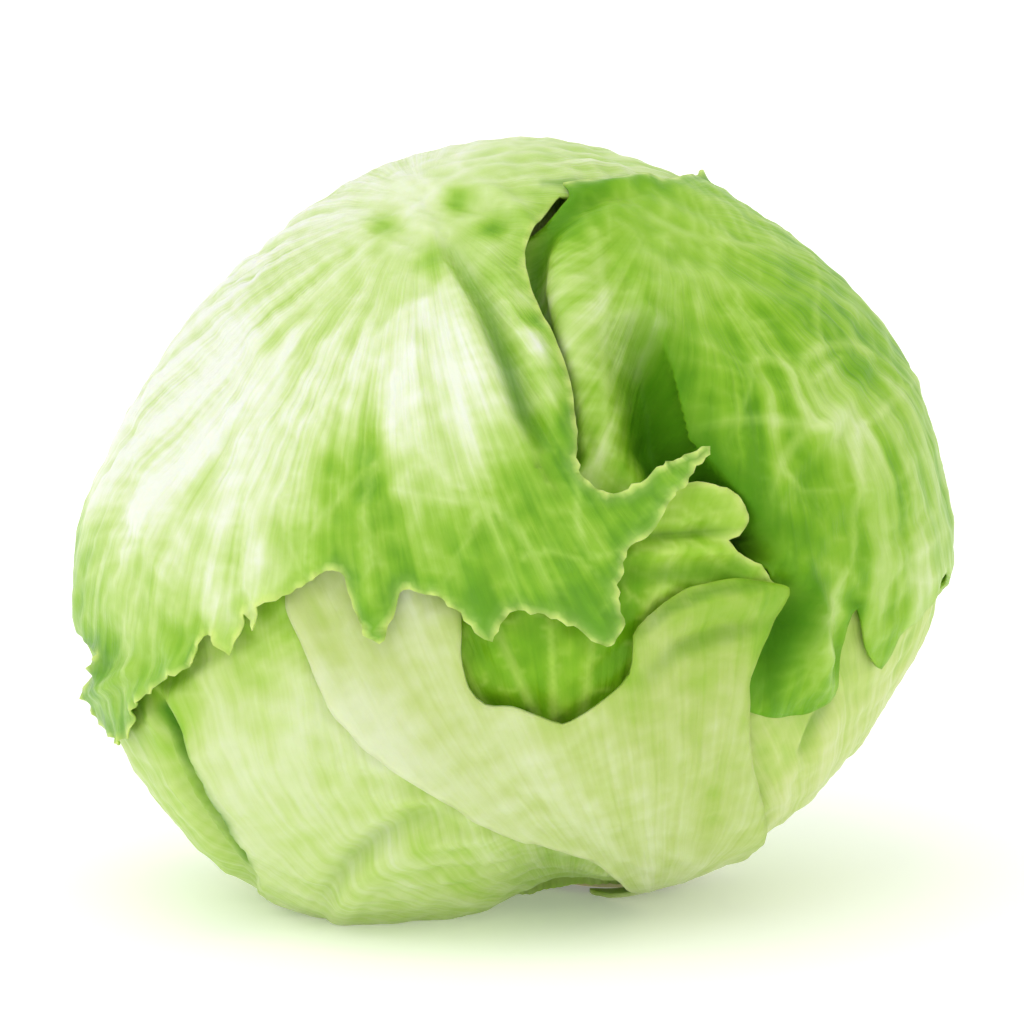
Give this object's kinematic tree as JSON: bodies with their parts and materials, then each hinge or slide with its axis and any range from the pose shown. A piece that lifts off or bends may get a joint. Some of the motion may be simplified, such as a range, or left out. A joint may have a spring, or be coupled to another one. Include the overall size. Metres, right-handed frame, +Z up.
{
  "type": "iceberg lettuce",
  "caption": "Trimmed head of iceberg lettuce resting on its underside, with loose wrapper leaves, torn margins and deep creases round a dense heart, and a short cut stem.",
  "frame": {"origin": "Under the middle of the head's bounding box, at the level of the surface it rests on.", "axes": "+Z up, +X to the head's right along its longest side, -Y towards its front, where the outer leaves part and show an inner leaf. The cut stem end is underneath."},
  "size_m": [0.163, 0.148, 0.1404],
  "materials": {
    "stem": "matte",
    "heart": "satin",
    "wrapper_left": "satin",
    "wrapper_right": "satin",
    "front_leaf": "satin",
    "low_left_leaf": "satin",
    "low_right_leaf": "satin",
    "inner_leaf": "satin",
    "back_leaf": "satin"
  },
  "bodies": {
    "root": {"stem": "stem", "heart": "heart", "wrapper_left": "wrapper_left", "wrapper_right": "wrapper_right", "front_leaf": "front_leaf", "low_left_leaf": "low_left_leaf", "low_right_leaf": "low_right_leaf", "inner_leaf": "inner_leaf", "back_leaf": "back_leaf"}
  },
  "joints": []
}
